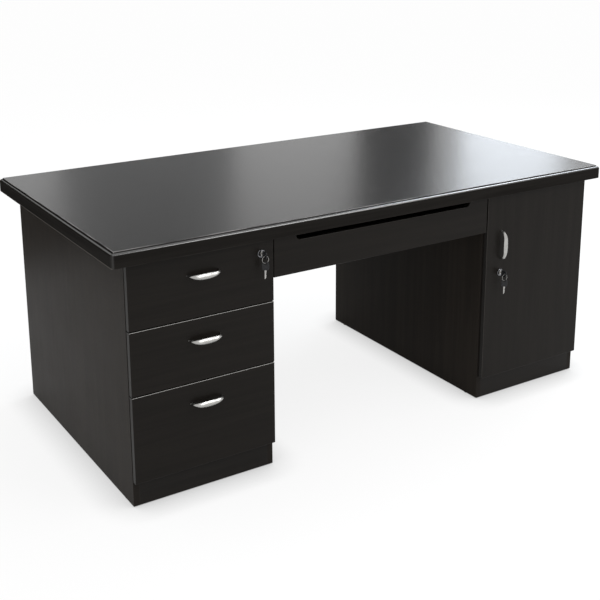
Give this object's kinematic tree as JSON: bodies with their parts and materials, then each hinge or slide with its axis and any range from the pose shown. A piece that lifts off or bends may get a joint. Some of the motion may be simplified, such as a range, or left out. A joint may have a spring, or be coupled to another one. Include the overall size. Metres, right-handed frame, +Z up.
{
  "type": "pedestal desk",
  "caption": "Executive pedestal desk: moulded top on two pedestals, locking drawers on one side, a locking cupboard with a shelf on the other, and a pencil drawer over the kneehole.",
  "frame": {"origin": "on the floor, under the middle of the overall length and depth", "axes": "+Z up, the drawers and door face -Y, +X to the right of someone facing the fronts"},
  "size_m": [1.8, 0.971, 0.765],
  "materials": {
    "black_top": "satin black-brown laminate",
    "black_board": "satin black-brown laminate",
    "box_board": "matt dark drawer board",
    "satin_nickel": "satin nickel",
    "lock_chrome": "polished chrome plate",
    "lock_steel": "nickel plate",
    "zinc_steel": "bright zinc plate",
    "black_plastic": "moulded black plastic"
  },
  "bodies": {
    "carcass": {"back_moulding": "black_top", "cabinet_shelf": "black_board", "floor_glides": "black_plastic", "front_moulding": "black_top", "hinge_arms": "zinc_steel", "left_back": "black_board", "left_bottom": "black_board", "left_front_rail": "black_board", "left_inner_side": "black_board", "left_moulding": "black_top", "left_outer_side": "black_board", "left_plinth": "black_board", "modesty_panel": "black_board", "right_back": "black_board", "right_bottom": "black_board", "right_front_rail": "black_board", "right_inner_side": "black_board", "right_moulding": "black_top", "right_outer_side": "black_board", "right_plinth": "black_board", "shelf_pins": "zinc_steel", "slide_channels": "zinc_steel", "worktop": "black_top"},
    "top_drawer": {"drawer_lock_housing": "lock_chrome", "top_drawer_back": "box_board", "top_drawer_bottom": "box_board", "top_drawer_front": "black_board", "top_drawer_handle": "satin_nickel", "top_drawer_runners": "zinc_steel", "top_drawer_sides": "box_board"},
    "middle_drawer": {"middle_drawer_back": "box_board", "middle_drawer_bottom": "box_board", "middle_drawer_front": "black_board", "middle_drawer_handle": "satin_nickel", "middle_drawer_runners": "zinc_steel", "middle_drawer_sides": "box_board"},
    "bottom_drawer": {"bottom_drawer_back": "box_board", "bottom_drawer_bottom": "box_board", "bottom_drawer_front": "black_board", "bottom_drawer_handle": "satin_nickel", "bottom_drawer_runners": "zinc_steel", "bottom_drawer_sides": "box_board"},
    "pencil_drawer": {"pencil_drawer_back": "box_board", "pencil_drawer_bottom": "box_board", "pencil_drawer_front": "black_board", "pencil_drawer_runners": "zinc_steel", "pencil_drawer_sides": "box_board"},
    "hinge_links": {"hinge_links": "zinc_steel"},
    "door": {"door_handle": "satin_nickel", "door_lock_housing": "lock_chrome", "door_panel": "black_board", "hinge_cups": "zinc_steel"},
    "drawer_lock": {"drawer_lock_key": "black_plastic", "drawer_lock_plug": "lock_steel"},
    "drawer_keys": {"drawer_lock_key_ring": "lock_steel", "drawer_lock_spare_key": "black_plastic"},
    "door_lock": {"door_lock_key": "black_plastic", "door_lock_plug": "lock_steel"},
    "door_keys": {"door_lock_key_ring": "lock_steel", "door_lock_spare_key": "black_plastic"}
  },
  "joints": [
    {"name": "top_drawer_slide", "type": "slide", "parent": "carcass", "child": "top_drawer", "axis": [0, -1, 0], "range_m": [0, 0.375]},
    {"name": "middle_drawer_slide", "type": "slide", "parent": "carcass", "child": "middle_drawer", "axis": [0, -1, 0], "range_m": [0, 0.375]},
    {"name": "bottom_drawer_slide", "type": "slide", "parent": "carcass", "child": "bottom_drawer", "axis": [0, -1, 0], "range_m": [0, 0.375]},
    {"name": "pencil_drawer_slide", "type": "slide", "parent": "carcass", "child": "pencil_drawer", "axis": [0, -1, 0], "range_m": [0, 0.375]},
    {"name": "door_swing", "type": "hinge", "parent": "hinge_links", "child": "door", "pos_m": [0.84, -0.439, 0.398], "axis": [0, 0, 1], "range_deg": [0, 130]},
    {"name": "hinge_link_turn", "type": "hinge", "parent": "carcass", "child": "hinge_links", "pos_m": [0.8245, -0.438, 0.398], "axis": [0, 0, 1], "range_deg": [-38, 0]},
    {"name": "drawer_lock_turn", "type": "hinge", "parent": "top_drawer", "child": "drawer_lock", "pos_m": [-0.445, -0.4545, 0.679], "axis": [0, 1, 0], "range_deg": [0, 90]},
    {"name": "drawer_keys_swing", "type": "hinge", "parent": "drawer_lock", "child": "drawer_keys", "pos_m": [-0.445, -0.478, 0.679], "axis": [1, 0, 0], "range_deg": [-45, 12]},
    {"name": "door_lock_turn", "type": "hinge", "parent": "door", "child": "door_lock", "pos_m": [0.47, -0.4545, 0.45], "axis": [0, -1, 0], "range_deg": [0, 90]},
    {"name": "door_keys_swing", "type": "hinge", "parent": "door_lock", "child": "door_keys", "pos_m": [0.47, -0.478, 0.45], "axis": [1, 0, 0], "range_deg": [-45, 12]}
  ],
  "couplings": [
    {"joint": "hinge_link_turn", "follows": "door_swing", "ratio": -0.2923}
  ]
}
